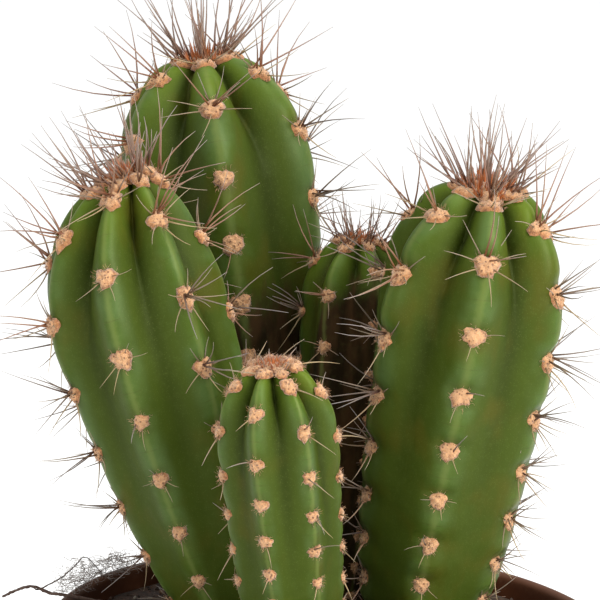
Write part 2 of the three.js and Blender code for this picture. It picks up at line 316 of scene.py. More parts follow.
def dots(tree, scale, seed=0.0):
    # distance to the nearest of many scattered points
    plugs = {"Vector": ownPlace(tree, seed), "Scale": scale}
    return Wire(tree, addNode(tree, "ShaderNodeTexVoronoi", plugs).outputs["Distance"])


def window(wire, low, high):
    # 0 below low, 1 above high, smooth between
    plugs = {"Value": wire, "From Min": low, "From Max": high}
    node = addNode(wire.tree, "ShaderNodeMapRange", plugs, interpolation_type="SMOOTHSTEP")
    return Wire(wire.tree, node.outputs[0])


def mixColour(tree, share, under, over):
    # the node's inputs 6 and 7 are its two colours
    ends = [(*end, 1) if isinstance(end, tuple) else end for end in (under, over)]
    plugs = {0: share, 6: ends[0], 7: ends[1]}
    node = addNode(tree, "ShaderNodeMix", data_type="RGBA")
    fillPlugs(tree, node, plugs)
    return node.outputs[2]


def bump(wire, depth, strength=1.0):
    plugs = {"Height": wire, "Distance": depth, "Strength": strength}
    return addNode(wire.tree, "ShaderNodeBump", plugs).outputs[0]


def flesh(weight, radius, depth):
    # light that soaks a little way in
    return {"Subsurface Weight": weight, "Subsurface Radius": radius, "Subsurface Scale": depth}


skinColours = {
    "furrow": (0.016, 0.024, 0.001),
    "flank": (0.036, 0.055, 0.004),
    "crest": (0.054, 0.092, 0.013),
    "young": (0.100, 0.158, 0.009),
    "bloom": (0.078, 0.126, 0.048),
    "olive": (0.062, 0.054, 0.004),
    "ridge": (0.140, 0.170, 0.045),
    "cork": (0.040, 0.018, 0.007),
    "bark": (0.011, 0.005, 0.002),
    "speck": (0.120, 0.150, 0.040),
}


skinFinish = {
    "olive": 0.55,
    "young": 0.75,
    "bloom": 0.45,
    "cork": 0.22,
    "ridge": 0.4,
    "speck": 0.2,
    "fleck": 0.25,
    "roughness": 0.54,
    "crestPolish": 0.2,
    "specular": 0.18,
    "specularTint": (0.85, 1.0, 0.55, 1),
    "relief": 0.5 * mm,
}


def makeSkinMaterial(c, amount):
    material, tree, shader = newMaterial("cactusSkin")
    crest, height, gap, corky = (attribute(tree, key) for key in ("crest", "height", "rowGap", "corky"))
    blotch = grain(tree, 55, detail=2.0)
    cloud = grain(tree, 160, detail=4.0, seed=3.0)
    streak = grain(tree, 260, detail=3.0, stretch=(1, 1, 0.25), seed=7.0)
    fleck = grain(tree, 700, detail=3.0, seed=5.0)
    fine = grain(tree, 1500, detail=2.0, seed=1.0)
    # the green, with painted shade darkening the upper furrows, and pale along the crests
    shaded = window(crest * -1, -0.5, 0.0) * window(height, 0.25, 0.85)
    colour = mixColour(tree, shaded, c["flank"], c["furrow"])
    colour = mixColour(tree, window(crest + (cloud - 0.5) * 0.3, 0.5, 1.0), colour, c["crest"])
    olive = window(blotch + (streak - 0.5) * 0.4, 0.48, 0.72)
    colour = mixColour(tree, olive * amount["olive"], colour, c["olive"])
    young = window(height + (blotch - 0.5) * 0.10, 0.78, 0.98) * window(crest, 0.1, 0.8)
    colour = mixColour(tree, young * amount["young"], colour, c["young"])
    bloom = window((1 - blotch) + (cloud - 0.5) * 0.5, 0.42, 0.75) * window(crest, 0.4, 0.85)
    colour = mixColour(tree, bloom * amount["bloom"], colour, c["bloom"])
    # a brown rim round each cluster, and cork from the soil up, which is partly real cork and partly
    # painted shade between the stems
    rim = window(size(gap) * -1, -4.2 * mm, -2.4 * mm) * window(crest, 0.6, 0.95)
    colour = mixColour(tree, rim * amount["cork"], colour, c["cork"])
    # cork and painted shade: the near-black bark colour stands in for the shade between the stems
    cork = window(corky + (streak - 0.5) * 0.9 + (blotch - 0.5) * 0.5, 0.25, 0.8)
    bark = mixColour(tree, window(streak, 0.35, 0.65), c["bark"], c["cork"])
    colour = mixColour(tree, cork, colour, bark)
    # a thin pale line on the crest, and pale specks all over
    ridge = window(crest + (fleck - 0.5) * 0.1, 0.86, 1.0)
    colour = mixColour(tree, ridge * amount["ridge"], colour, c["ridge"])
    speck = window(dots(tree, 1900) * -1, -0.30, -0.12) * (1 - cork)
    speck = speck * amount["speck"] + (fleck - 0.5) * amount["fleck"]
    colour = mixColour(tree, speck, colour, c["speck"])
    polish = window(crest, 0.35, 0.85) * amount["crestPolish"]
    relief = cloud * 0.5 + streak * (0.35 + cork * 1.6) + fine * 0.12
    fillPlugs(tree, shader, {
        "Base Color": colour,
        "Roughness": amount["roughness"] + (cloud * 0.12) + (cork * 0.4) - polish,
        "Normal": bump(relief, amount["relief"], 0.5),
        "Specular IOR Level": amount["specular"],
        "Specular Tint": amount["specularTint"],
        **flesh(0.10, (1.0, 1.6, 0.35), 1.4 * mm),
    })
    return material


feltColours = {
    "shade": (0.180, 0.070, 0.026),
    "wool": (0.450, 0.195, 0.070),
    "pale": (0.640, 0.380, 0.195),
    "spot": (0.085, 0.024, 0.010),
}


def makeFeltMaterial(c):
    material, tree, shader = newMaterial("areoleFelt")
    lift = attribute(tree, "lift")
    clump = grain(tree, 900, detail=3.0)
    nap = grain(tree, 3200, detail=2.0, seed=4.0)
    colour = mixColour(tree, window(clump * 0.7 + nap * 0.3, 0.3, 0.62), c["shade"], c["wool"])
    colour = mixColour(tree, window(lift + (nap - 0.5) * 0.8, 0.35, 0.95) * 0.6, colour, c["pale"])
    spot = window(dots(tree, 1050, seed=2.0) * -1, -0.36, -0.14)
    spot = spot * window(lift + (clump - 0.5), 0.3, 0.6)
    fillPlugs(tree, shader, {
        "Base Color": mixColour(tree, spot * 0.8, colour, c["spot"]),
        "Normal": bump(clump * 0.6 + nap * 0.4, 0.8 * mm),
        "Roughness": 0.95,
        "Sheen Weight": 0.35,
        "Sheen Roughness": 0.5,
        **flesh(0.1, (1.0, 0.6, 0.4), 0.6 * mm),
    })
    return material


spineColours = {
    "base": (0.070, 0.020, 0.010),
    "horn": (0.125, 0.092, 0.078),
    "tip": (0.215, 0.192, 0.180),
    "straw": (0.330, 0.235, 0.110),
    "red": (0.380, 0.115, 0.030),
}


def makeSpineMaterial(c):
    material, tree, shader = newMaterial("spineHorn")
    along, tone, young = (attribute(tree, key) for key in ("along", "tone", "young"))
    grit = grain(tree, 1400, detail=2.0)
    colour = mixColour(tree, window(along + (grit - 0.5) * 0.3, 0.0, 0.35), c["base"], c["horn"])
    colour = mixColour(tree, window(along, 0.3, 1.0), colour, c["tip"])
    colour = mixColour(tree, tone * 0.85, colour, c["straw"])
    fillPlugs(tree, shader, {
        "Base Color": mixColour(tree, young * window(1 - along, -0.15, 0.5), colour, c["red"]),
        "Normal": bump(grit, 0.1 * mm, 0.4),
        "Roughness": 0.5,
        **flesh(0.12, (1.0, 0.6, 0.3), 0.4 * mm),
    })
    return material


soilColours = {
    "dark": (0.014, 0.007, 0.004),
    "peat": (0.050, 0.024, 0.012),
    "bark": (0.120, 0.062, 0.034),
    "grit": (0.330, 0.290, 0.240),
}


def makeSoilMaterial(c):
    material, tree, shader = newMaterial("pottingMix")
    crumb = grain(tree, 420, detail=5.0, rough=0.7)
    dust = grain(tree, 90, detail=2.0, seed=2.0)
    speck = window(dots(tree, 420) * -1, -0.14, -0.06)
    colour = mixColour(tree, window(crumb, 0.35, 0.65), c["dark"], c["peat"])
    colour = mixColour(tree, window(dust + (crumb - 0.5), 0.5, 0.85) * 0.6, colour, c["bark"])
    colour = mixColour(tree, speck * 0.4, colour, c["grit"])
    normal = bump(crumb, 1.2 * mm)
    fillPlugs(tree, shader, {"Base Color": colour, "Normal": normal, "Roughness": 0.95})
    return material


def makeCrumbMaterial(c):
    material, tree, shader = newMaterial("soilCrumbs")
    tone = attribute(tree, "tone")
    crumb = grain(tree, 900, detail=4.0, rough=0.7)
    colour = mixColour(tree, window(tone + (crumb - 0.5) * 0.5, 0.1, 0.7), c["dark"], c["peat"])
    colour = mixColour(tree, window(tone, 0.72, 0.9), colour, c["bark"])
    colour = mixColour(tree, window(tone, 0.955, 0.97), colour, c["grit"])
    normal = bump(crumb, 0.5 * mm, 0.9)
    fillPlugs(tree, shader, {"Base Color": colour, "Normal": normal, "Roughness": 0.93})
    return material


potColours = {
    "deep": (0.055, 0.017, 0.007),
    "plastic": (0.100, 0.033, 0.013),
    "scuff": (0.120, 0.050, 0.024),
    "dust": (0.140, 0.068, 0.036),
}


def makePotMaterial(c):
    material, tree, shader = newMaterial("potPlastic")
    height = vectorParts(tree, tree.nodes.new("ShaderNodeTexCoord").outputs["Object"])[2]
    cloud = grain(tree, 26, detail=4.0)
    fine = grain(tree, 700, detail=3.0, seed=5.0)
    scratch = grain(tree, 420, detail=2.0, stretch=(1, 1, 0.08), seed=9.0)
    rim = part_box("pot")[1].z
    colour = mixColour(tree, window(cloud, 0.3, 0.7), c["deep"], c["plastic"])
    worn = window(height + (fine - 0.5) * 3 * mm, rim - 3.2 * mm, rim - 0.6 * mm)
    colour = mixColour(tree, worn * 0.45, colour, c["scuff"])
    dusty = window(fine * 0.6 + cloud * 0.5, 0.56, 0.74)
    colour = mixColour(tree, dusty * 0.35, colour, c["dust"])
    colour = mixColour(tree, window(scratch, 0.66, 0.72) * 0.25, colour, c["scuff"])
    fillPlugs(tree, shader, {
        "Base Color": colour,
        "Roughness": 0.42 + dusty * 0.3 + worn * 0.1,
        "Normal": bump(fine * 0.7 + scratch * 0.3, 0.12 * mm, 0.5),
        "Specular IOR Level": 0.16,
    })
    return material


fibreColours = {
    "dark": (0.050, 0.026, 0.018),
    "bark": (0.120, 0.075, 0.055),
    "grey": (0.420, 0.380, 0.350),
}


def makeFibreMaterial(name, c, under, over):
    material, tree, shader = newMaterial(name)
    streak = grain(tree, 900, detail=4.0, rough=0.65)
    colour = mixColour(tree, window(streak, 0.3, 0.7), c[under], c[over])
    normal = bump(streak, 0.3 * mm, 0.8)
    fillPlugs(tree, shader, {"Base Color": colour, "Normal": normal, "Roughness": 0.9})
    return material


skinMaterial = makeSkinMaterial(skinColours, skinFinish)
feltMaterial = makeFeltMaterial(feltColours)
spineMaterial = makeSpineMaterial(spineColours)
soilMaterial = makeSoilMaterial(soilColours)
crumbMaterial = makeCrumbMaterial(soilColours)
potMaterial = makePotMaterial(potColours)
rootMaterial = makeFibreMaterial("dryRootBark", fibreColours, "dark", "bark")
wispMaterial = makeFibreMaterial("greyFibre", fibreColours, "bark", "grey")
print("materials ready")


# the rule that every stem's skin follows

# depths are shares of the girth, and angles over the dome are in radians
ribShape = {
    "furrowAtFoot": 0.07,
    "furrowAtTop": 0.38,
    "hollowFlank": 1.7,
    "roundFlank": 0.9,
    "roundedBy": 0.95,
    "closesOver": 0.6,
    "deeperUpwards": 0.45,
    "deeperOnDome": 0.55,
    "dimpleFrom": 1.1,
    "dimpleOver": 0.45,
    "dimpleDepth": 0.1,
    "nodOver": 1.4,
    "notchLong": 2.4 * mm,
    "notchWide": 3.4 * mm,
    "notchRise": 1.3 * mm,
    "notchFrom": 3 * mm,
    "notchOver": 6 * mm,
    "notchAtFoot": 0.75,
    "bulgeTight": 1.3,
}

# lengths in millimetres and angles in degrees; what isn't given for a stem is as in usualStem
usualStem = {"point": 0.9, "bow": 0.0, "nod": 0.0, "armed": 1.0}

# a stem's cork height says how high its cork reaches, and with it the painted shade on the side that faces
# the clump
stems = {
    "BackLeft": {
        "node": "back_left",
        "girth": 26.9, "neck": 0.44, "belly": 0.61, "dome": 1.14,
        "ribs": 6, "turn": -82.6, "twist": -6.2,
        "firstRow": 6.2, "rowStep": 19.9, "rowShrink": 0.67, "stagger": 0.56,
        "notch": 0.6, "bulge": 0.2, "corkHeight": 0.62,
        "padWidth": 3.3, "padShrink": 0.04,
        "crownReach": 27.0, "crownRadius": 9.0, "crownCount": (3, 3, 4),
        "tuft": 90, "tuftReach": 1.0,
    },
    "FrontLeft": {
        "node": "front_left",
        "girth": 22.7, "neck": 0.345, "belly": 0.4, "dome": 1.6, "point": 1.05, "bow": 1.5, "nod": 7.7,
        "ribs": 7, "turn": -102.5, "twist": 17.7,
        "firstRow": 14.4, "rowStep": 18.7, "rowShrink": 0.47, "stagger": 0.55,
        "notch": 0.35, "bulge": 0.12, "corkHeight": 0.12,
        "padWidth": 3.1, "padShrink": 0.065,
        "crownReach": 21.0, "crownRadius": 8.0, "crownCount": (3, 4, 4),
        "tuft": 60, "tuftReach": 0.9,
    },
    "Right": {
        "node": "right",
        "girth": 24.4, "neck": 0.35, "belly": 0.57, "dome": 1.34,
        "ribs": 6, "turn": -93.3, "twist": 20.9,
        "firstRow": 9.0, "rowStep": 18.05, "rowShrink": 0.51, "stagger": 0.53,
        "notch": 1.5, "bulge": 0.4, "corkHeight": 0.12,
        "padWidth": 3.4, "padShrink": 0.045,
        "crownReach": 23.0, "crownRadius": 9.5, "crownCount": (3, 4, 5),
        "tuft": 90, "tuftReach": 1.0,
    },
    "FrontSmall": {
        "node": "front_small",
        "girth": 14.7, "neck": 0.55, "belly": 0.43, "dome": 1.35,
        "ribs": 7, "turn": -108.0, "twist": -7.0,
        "firstRow": 4.5, "rowStep": 12.3, "rowShrink": 0.4, "stagger": 0.45,
        "notch": 0.35, "bulge": 0.12, "corkHeight": 0.05,
        "padWidth": 2.2, "padShrink": 0.05, "armed": 0.0,
        "crownReach": 4.5, "crownRadius": 5.5, "crownCount": (0, 0, 1),
        "tuft": 60, "tuftReach": 0.42,
    },
    "BackSmall": {
        "node": "back_small",
        "girth": 13.4, "neck": 0.5, "belly": 0.6, "dome": 1.2,
        "ribs": 6, "turn": -124.0, "twist": 0.0,
        "firstRow": 7.0, "rowStep": 14.0, "rowShrink": 0.4, "stagger": 0.5,
        "notch": 0.4, "bulge": 0.12, "corkHeight": 0.94,
        "padWidth": 2.1, "padShrink": 0.04, "armed": 0.7,
        "crownReach": 14.0, "crownRadius": 5.0, "crownCount": (2, 3, 3),
        "tuft": 40, "tuftReach": 0.7,
    },
}


def measureStem(name, s):
    # reads the stem's axis and length off its solid: the foot is the flat cap underneath
    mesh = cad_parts["stem_" + s["node"]].data
    cap = [face for face in mesh.polygons if face.normal.z < -0.9]
    area = sum(face.area for face in cap)
    foot = sum((face.center * face.area for face in cap), Vector()) / area
    axis = -sum((face.normal * face.area for face in cap), Vector()).normalized()
    across = (Vector((1, 0, 0)) - axis * axis.x).normalized()
    facts = {**usualStem, **s}
    for key in ("girth", "bow", "nod", "firstRow", "rowStep", "rowShrink", "notch", "bulge", "crownReach",
                "crownRadius", "padWidth"):
        facts[key] *= mm
    dimple = ribShape["dimpleDepth"] * facts["girth"]
    spots = [vertex.co - foot - across * facts["nod"] for vertex in mesh.vertices]
    along = [spot.dot(axis) for spot in spots]
    out = [(spot - axis * far).length for spot, far in zip(spots, along)]
    middle = max(far for far, away in zip(along, out) if away < dimple / 2)
    facts.update(name=name, foot=foot, axis=axis, across=across, behind=axis.cross(across))
    facts.update(length=middle + dimple, firstRib=1 - math.ceil(s["ribs"] / 2))
    facts.update(crown=foot + axis * middle + across * facts["nod"])
    return SimpleNamespace(**facts)


def pathLength(s):
    dome = s.girth * s.dome
    return s.length - dome + (s.girth + dome) * (math.pi / 4)


def swell(s, x):
    # the belly's share of the girth is there soon above the foot, the rest comes slowly
    return (1 - power(1 - x, 5)) * s.belly + x * (1.3 - x * 0.3) * (1 - s.belly)


def rowAt(s, down):
    # the row number that this far down the crest is, since the rows crowd together upwards
    inside = atLeast(s.rowStep * s.rowStep - (down - s.firstRow) * s.rowShrink * 4, 0.0)
    return (s.rowStep - root(inside)) / (s.rowShrink * 2)


def skinRule(s, rib, up):
    # how far along and out from the axis the skin lies, its angle round it, and marks for colour
    c = ribShape
    dome = s.girth * s.dome
    path = pathLength(s)
    shoulder = (s.length - dome) / path
    x = unit(up / shoulder)
    bend = unit((up - shoulder) / (1 - shoulder)) * (math.pi / 2)
    radius = s.girth * (s.neck + (1 - s.neck) * swell(s, x)) * power(cosine(bend), s.point)
    sink = unit((bend - c["dimpleFrom"]) / c["dimpleOver"])
    height = (s.length - dome) * x + dome * sine(bend) - sink * sink * s.girth * c["dimpleDepth"]
    # the furrow between two crests
    ribNumber = below(rib + 0.5)
    across = size(rib - ribNumber) * 2
    ridged = power(sine(across * (math.pi / 2)), c["hollowFlank"])
    puffed = 1 - power(cosine(across * (math.pi / 2)), c["roundFlank"])
    inflated = unit(bend / c["roundedBy"])
    hollow = ridged + (puffed - ridged) * inflated
    fade = 1 - unit((bend - c["roundedBy"]) / c["closesOver"])
    deepening = power(x, 3) * c["deeperUpwards"] + inflated * c["deeperOnDome"]
    deep = s.girth * (c["furrowAtFoot"] + deepening * (c["furrowAtTop"] - c["furrowAtFoot"]))
    # the notch over each cluster and the bulge between two of them
    down = (1 - up) * path
    row = rowAt(s, down)
    rowHeight = s.rowStep - s.rowShrink * row * 2
    shift = ribNumber * s.stagger
    phase = row - (shift - below(shift)) + 0.5
    gap = (phase - below(phase) - 0.5) * rowHeight
    halfRib = radius * math.pi / s.ribs
    shallow = unit((down - c["notchFrom"]) / c["notchOver"])
    shallow = shallow * (c["notchAtFoot"] + x * (1 - c["notchAtFoot"]))
    notch = bell((gap + c["notchRise"]) / c["notchLong"]) * s.notch
    notch = notch * bell(across * halfRib / c["notchWide"])
    swelling = cosine(gap / rowHeight * (2 * math.pi)) * 0.5 + 0.5
    notch = notch + swelling * s.bulge * bell(across * c["bulgeTight"])
    inward = deep * fade * hollow + notch * shallow
    out = atLeast(radius - cosine(bend) * inward, 0.0)
    along = height - sine(bend) * inward
    turn = s.turn * (math.pi / 180) + s.twist * (up - 0.5) * (math.pi / 180)
    angle = turn + rib / s.ribs * (2 * math.pi)
    lean = unit(bend / c["nodOver"])
    rise = height / s.length
    sway = lean * lean * s.nod - rise * (1 - rise) * 4 * s.bow
    return SimpleNamespace(along=along, out=out, angle=angle, sway=sway, crest=1 - across, gap=gap)


def skinPoint(s, rib, up):
    r = skinRule(s, rib, up)
    flat = s.across * math.cos(r.angle) + s.behind * math.sin(r.angle)
    return s.foot + s.axis * float(r.along) + flat * float(r.out) + s.across * float(r.sway)


skinMesh = {
    "facetsPerRib": 26,
    "rings": 250,
    "fewestRings": 0.55,
    "tallStem": 0.15,
    "footShare": 0.01,
    "weld": 2e-6,
    "unevenness": 0.7 * mm,
    "lumpSize": 70.0,
    "corkInner": 0.38,
    "corkShadeBlend": 0.14,
}

# the tree's inputs that are plain numbers; each is the rule's value of the same name
skinNumbers = ["Length", "Girth", "Neck", "Belly", "Dome", "Point", "Bow", "Nod", "Ribs", "First rib",
               "Turn", "Twist", "First row", "Row step", "Row shrink", "Stagger", "Notch", "Bulge",
               "Cork height", "Inner across", "Inner behind", "Unevenness", "Lump size"]
skinVectors = ["Foot", "Axis", "Across", "Behind"]


def shortName(label):
    first, *others = label.split()
    return first.lower() + "".join(word.capitalize() for word in others)


def makeSkinTree(c):
    # a flat grid, ribs one way and height the other, is wrapped round the axis by the rule
    inputs = {label: 0.0 for label in skinNumbers}
    inputs.update({label: Vector() for label in skinVectors})
    inputs.update({"Facets round": 0, "Rings": 0, "Material": "NodeSocketMaterial"})
    tree, entry = newTree("ribbedSkin", inputs)
    s = SimpleNamespace(**{shortName(label): Wire(tree, entry.outputs[label]) for label in skinNumbers})
    counts = {"Vertices X": entry.outputs["Facets round"], "Vertices Y": entry.outputs["Rings"]}
    grid = addNode(tree, "GeometryNodeMeshGrid", {"Size X": 1.0, "Size Y": 1.0, **counts})
    where = tree.nodes.new("GeometryNodeInputPosition").outputs[0]
    flat = vectorParts(tree, where)
    rib = (flat[0] + 0.5) * s.ribs + s.firstRib - 0.5
    # the lowest ring is drawn in to a point, which closes the foot
    lift = (flat[1] + 0.5) * (1 + c["footShare"]) - c["footShare"]
    up = unit(lift)
    r = skinRule(s, rib, up)
    closed = r.out * unit(lift * (1 / c["footShare"]) + 1)
    turned = closed * cosine(r.angle) + r.sway
    swung = closed * sine(r.angle)
    frames = [vectorParts(tree, entry.outputs[label]) for label in skinVectors]
    spot = tree.nodes.new("ShaderNodeCombineXYZ")
    for i in range(3):
        foot, axis, across, behind = (parts[i] for parts in frames)
        total = foot + axis * r.along + across * turned + behind * swung
        tree.links.new(total.socket, spot.inputs[i])
    geometry = grid.outputs["Mesh"]
    # the side that faces the middle of the clump turns corky higher up than the outer side: partly real
    # cork, partly painted shade where the stems shade each other
    inner = cosine(r.angle) * s.innerAcross + sine(r.angle) * s.innerBehind
    corkShadeTop = s.corkHeight * ((1 - c["corkInner"]) + inner * c["corkInner"])
    corky = unit((corkShadeTop - up) / c["corkShadeBlend"])
    for label, wire in (("crest", r.crest), ("height", up), ("rowGap", r.gap), ("corky", corky)):
        plugs = {"Geometry": geometry, "Name": label, "Value": wire}
        geometry = addNode(tree, "GeometryNodeStoreNamedAttribute", plugs).outputs[0]
    plugs = {"Geometry": geometry, "Position": spot.outputs[0]}
    placed = addNode(tree, "GeometryNodeSetPosition", plugs)
    plugs = {"Geometry": placed.outputs[0], "Distance": c["weld"]}
    merged = addNode(tree, "GeometryNodeMergeByDistance", plugs)
    # low lumps over the whole skin
    plugs = {"Vector": where, "Scale": s.lumpSize, "Detail": 2.0}
    lumps = addNode(tree, "ShaderNodeTexNoise", plugs)
    uneven = (Wire(tree, lumps.outputs["Fac"]) - 0.5) * s.unevenness
    plugs = {0: tree.nodes.new("GeometryNodeInputNormal").outputs[0], "Scale": uneven}
    push = addNode(tree, "ShaderNodeVectorMath", operation="SCALE")
    fillPlugs(tree, push, plugs)
    plugs = {"Geometry": merged.outputs[0], "Offset": push.outputs[0]}
    bumpy = addNode(tree, "GeometryNodeSetPosition", plugs)
    smooth = addNode(tree, "GeometryNodeSetShadeSmooth", {"Geometry": bumpy.outputs[0]})
    closeTree(tree, smooth.outputs[0], entry.outputs["Material"])
    return tree


def makeSkin(s, tree, c):
    # a taller stem gets more rings
    few = c["fewestRings"]
    rings = int(c["rings"] * (few + (1 - few) * s.length / c["tallStem"]))
    inner = Vector((-s.foot.x, -s.foot.y, 0)).normalized()
    facts = SimpleNamespace(**vars(s), unevenness=c["unevenness"], lumpSize=c["lumpSize"],
                            innerAcross=s.across.dot(inner), innerBehind=s.behind.dot(inner))
    values = {label: float(getattr(facts, shortName(label))) for label in skinNumbers}
    values.update({label: getattr(s, shortName(label)) for label in skinVectors})
    facets = s.ribs * c["facetsPerRib"] + 1
    values.update({"Facets round": facets, "Rings": rings, "Material": skinMaterial})
    piece = growMesh("stem" + s.name, bpy.data.meshes.new("empty"), tree, values)
    finishPiece(piece, ["stem_" + s.node])


skinTree = makeSkinTree(skinMesh)
plants = [measureStem(name, s) for name, s in stems.items()]
for plant in plants:
    makeSkin(plant, skinTree, skinMesh)
print("stems ready")


# where the spine clusters sit

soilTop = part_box("soil")[1].z

clusterRows = {
    "most": 14,
    "closest": 5.5 * mm,
    "aboveSoil": 1.5 * mm,
    "oldest": 8,
    "crown": ((0.36, 0.62), (0.66, 0.82)),
    "crownSpan": 7.5 * mm,
    "crownStagger": 0.2,
    "crownEnd": 0.85,
    "feelUp": 0.006,
    "feelRound": 0.05,
}


def clusterPlace(s, rib, down):
    # the point on the crest, its outward direction, and the directions up the rib and across it,
    # which are felt out a little way to either side
    up = 1 - down / pathLength(s)
    far = clusterRows["feelUp"]
    wide = clusterRows["feelRound"]
    point = skinPoint(s, rib, up)
    rise = (skinPoint(s, rib, up + far) - skinPoint(s, rib, up - far)).normalized()
    side = (skinPoint(s, rib + wide, up) - skinPoint(s, rib - wide, up)).normalized()
    return SimpleNamespace(point=point, rise=rise, side=side, out=side.cross(rise).normalized())


def ribsOf(s):
    # each rib's number, and how much later than its neighbour's its rows begin
    return [(rib, (rib * s.stagger) % 1) for rib in range(s.firstRib, s.firstRib + s.ribs)]


def clustersOf(s, c):
    places = []
    for rib, late in ribsOf(s):
        for row in range(c["most"]):
            step = row + late
            if s.rowStep - 2 * s.rowShrink * step < c["closest"]:
                break
            down = s.firstRow + s.rowStep * step - s.rowShrink * step ** 2
            place = clusterPlace(s, rib, down)
            if place.point.z < soilTop + c["aboveSoil"]:
                break
            place.age = step
            place.width = s.padWidth * (1 - s.padShrink * min(step, c["oldest"]))
            places.append(place)
    return places


def crownPlaces(s, c):
    # the youngest clusters, crowded round the growing point
    places = []
    for share, width in c["crown"]:
        for rib, late in ribsOf(s):
            far = min(share + c["crownStagger"] * late, c["crownEnd"])
            place = clusterPlace(s, rib, max(s.firstRow, c["crownSpan"]) * far)
            place.width = s.padWidth * width
            places.append(place)
    return places


# felt pads

feltPad = {
    "rings": 5,
    "spokes": 18,
    "thickness": 0.46,
    "wrap": 0.24,
    "corners": (0.08, 0.2),
    "waves": 5,
    "waveCount": (2, 9),
    "waveSize": (0.03, 0.09),
    "grainy": 0.3,
    "shapes": 6,
    "wide": (0.88, 1.1),
    "tall": (0.85, 1.12),
    "tilt": 0.35,
    "sunk": 0.1,
    "stalk": 0.9,
    "hairsPerPad": 44,
    "hairLength": 1.6 * mm,
    "hairWidth": 0.09 * mm,
    "hairSpread": 1.1,
    "hairCurl": 0.25,
    "usualWidth": 3.2 * mm,
}


def threeCorners(angle):
    # how far a cushion with its point down bulges out this way round
    return math.cos(3 * (angle + math.pi / 2))


def padLift(share):
    return math.sqrt(max(1 - share ** 2.4, 0))


def lattice(first, rings, sides):
    # the two lower corners of each facet between rings of points, starting at the first point
    for low in range(first, first + rings * sides, sides):
        for i in range(sides):
            yield low + i, low + (i + 1) % sides


def makePadMesh(c, seed):
    # a three-cornered cushion one unit in half width, point down, bowed over the crest
    chance = random.Random(seed)
    n = c["spokes"]
    waves = [(chance.randint(*c["waveCount"]), chance.uniform(0, 6.28), chance.uniform(*c["waveSize"]))
             for _ in range(c["waves"])]
    corners = chance.uniform(*c["corners"])
    points = [(0, 0, c["thickness"])]
    lifts = [1.0]
    for ring in range(1, c["rings"] + 1):
        share = ring / c["rings"]
        for spoke in range(n):
            angle = 2 * math.pi * spoke / n
            reach = 1 + corners * threeCorners(angle)
            reach += sum(size * math.sin(count * angle + start) for count, start, size in waves)
            x = share * reach * math.cos(angle)
            y = share * reach * math.sin(angle)
            lift = padLift(share) * (1 + c["grainy"] * math.sin(8 * x + seed) * math.cos(7 * y))
            points.append((x, y, c["thickness"] * lift - c["wrap"] * x * x))
            lifts.append(lift)
    points.append((0, 0, -c["stalk"]))
    lifts.append(0.0)
    last = len(points) - 1
    faces = [(0, a, b) for a, b in lattice(1, 1, n)]
    faces += [(a, a + n, b + n, b) for a, b in lattice(1, c["rings"] - 1, n)]
    faces += [(a, last, b) for a, b in lattice(last - n, 1, n)]
    mesh = meshFrom("feltPad%d" % seed, points, faces)
    mesh.attributes.new("lift", "FLOAT", "POINT").data.foreach_set("value", lifts)
    return mesh


def makeStrandMesh(name, sides, steps, taper):
    # a thin strand one unit long and one unit thick, thinning towards its end; its bow says how
    # far each point moves when the strand is bent
    points = []
    alongs = []
    for step in range(steps + 1):
        share = step / steps
        width = 0.5 * (1 - taper * share)
        for i in range(sides):
            angle = 2 * math.pi * i / sides
            points.append((width * math.cos(angle), width * math.sin(angle), share))
            alongs.append(share)
    faces = [(a, b, b + sides, a + sides) for a, b in lattice(0, steps, sides)]
    faces.append(tuple(reversed(range(sides))))
    faces.append(tuple(range(steps * sides, (steps + 1) * sides)))
    mesh = meshFrom(name, points, faces)
    for key, values in (("along", alongs), ("bow", [4 * a * (1 - a) for a in alongs])):
        mesh.attributes.new(key, "FLOAT", "POINT").data.foreach_set("value", values)
    return mesh


def copiesTree(name, shapes):
    # sets a copy of a shape on every point, turned to its aim, sized, and bowed sideways
    tree, entry = newTree(name, {"Material": "NodeSocketMaterial"})
    gather = tree.nodes.new("GeometryNodeGeometryToInstance")
    for shape in reversed(shapes):
        info = addNode(tree, "GeometryNodeObjectInfo", {"Object": shape, "As Instance": False})
        tree.links.new(info.outputs["Geometry"], gather.inputs[0])
    kinds = {"aim": "FLOAT_VECTOR", "side": "FLOAT_VECTOR", "size": "FLOAT_VECTOR", "pick": "INT",
             "bow": "FLOAT", "lean": "FLOAT_VECTOR"}
    named = {}
    for key, kind in kinds.items():
        node = addNode(tree, "GeometryNodeInputNamedAttribute", {"Name": key}, data_type=kind)
        named[key] = node.outputs[0]
    plugs = {"Primary Axis": named["aim"], "Secondary Axis": named["side"]}
    aimed = addNode(tree, "FunctionNodeAxesToRotation", plugs, primary_axis="Z", secondary_axis="X")
    plugs = {"Points": entry.outputs["Geometry"], "Instance": gather.outputs[0], "Pick Instance": True,
             "Instance Index": named["pick"], "Rotation": aimed.outputs[0], "Scale": named["size"]}
    copies = addNode(tree, "GeometryNodeInstanceOnPoints", plugs)
    real = addNode(tree, "GeometryNodeRealizeInstances", {"Geometry": copies.outputs[0]})
    push = addNode(tree, "ShaderNodeVectorMath", operation="SCALE")
    fillPlugs(tree, push, {0: named["lean"], "Scale": named["bow"]})
    plugs = {"Geometry": real.outputs[0], "Offset": push.outputs[0]}
    bowed = addNode(tree, "GeometryNodeSetPosition", plugs)
    closeTree(tree, bowed.outputs[0], entry.outputs["Material"])
    return tree


padShapes = [hiddenObject(makePadMesh(feltPad, seed)) for seed in range(feltPad["shapes"])]
woolShape = hiddenObject(makeStrandMesh("woolHair", sides=3, steps=3, taper=0.5))
spineShape = hiddenObject(makeStrandMesh("spine", sides=5, steps=4, taper=0.82))
padTree = copiesTree("feltPads", padShapes)
woolTree = copiesTree("woolHairs", [woolShape])
spineTree = copiesTree("spines", [spineShape])


